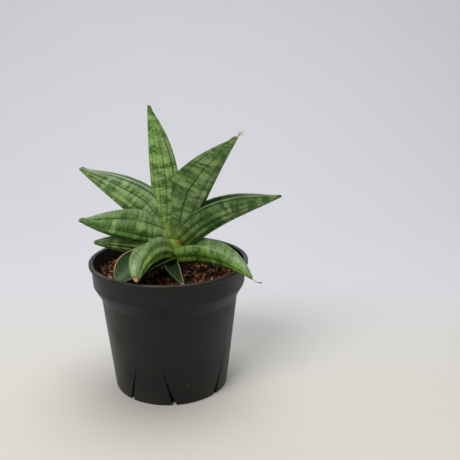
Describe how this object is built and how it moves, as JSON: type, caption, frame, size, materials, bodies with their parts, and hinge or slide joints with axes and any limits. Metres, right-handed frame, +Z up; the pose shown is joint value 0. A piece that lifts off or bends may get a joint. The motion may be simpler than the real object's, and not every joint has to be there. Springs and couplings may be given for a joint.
{
  "type": "potted snake plant",
  "caption": "Dwarf snake plant with thick, boat-shaped leaves in a rosette, rooted in potting mix in a round, slotted plastic nursery pot.",
  "frame": {"origin": "centre of the flat disc in the middle of the pot's underside, on the plane the pot stands on", "axes": "+Z up through the pot's mouth, -Y towards the front of the plant, +X to its right"},
  "size_m": [0.1102, 0.09, 0.1617],
  "materials": {
    "pot_plastic": "thin black moulded plastic, satin, lightly scuffed",
    "potting_mix": "matte, loose coir and peat with bark chips",
    "rootstock": "pale tan, matte",
    "leaf": "waxy skin with cross bands, dark lengthwise lines and dry tan rims",
    "dry_husk": "papery, dry, orange-brown"
  },
  "bodies": {
    "root": {"pot": "pot_plastic", "potting_mix": "potting_mix", "rootstock": "rootstock", "leaf_upright": "leaf", "leaf_upper_right": "leaf", "leaf_upper_left": "leaf", "leaf_right": "leaf", "leaf_left": "leaf", "leaf_front_right": "leaf", "leaf_front_left": "leaf", "leaf_low_left": "leaf", "leaf_low_front_left": "leaf", "leaf_low_front": "leaf", "leaf_low_back": "leaf", "dry_scale": "dry_husk"}
  },
  "joints": []
}
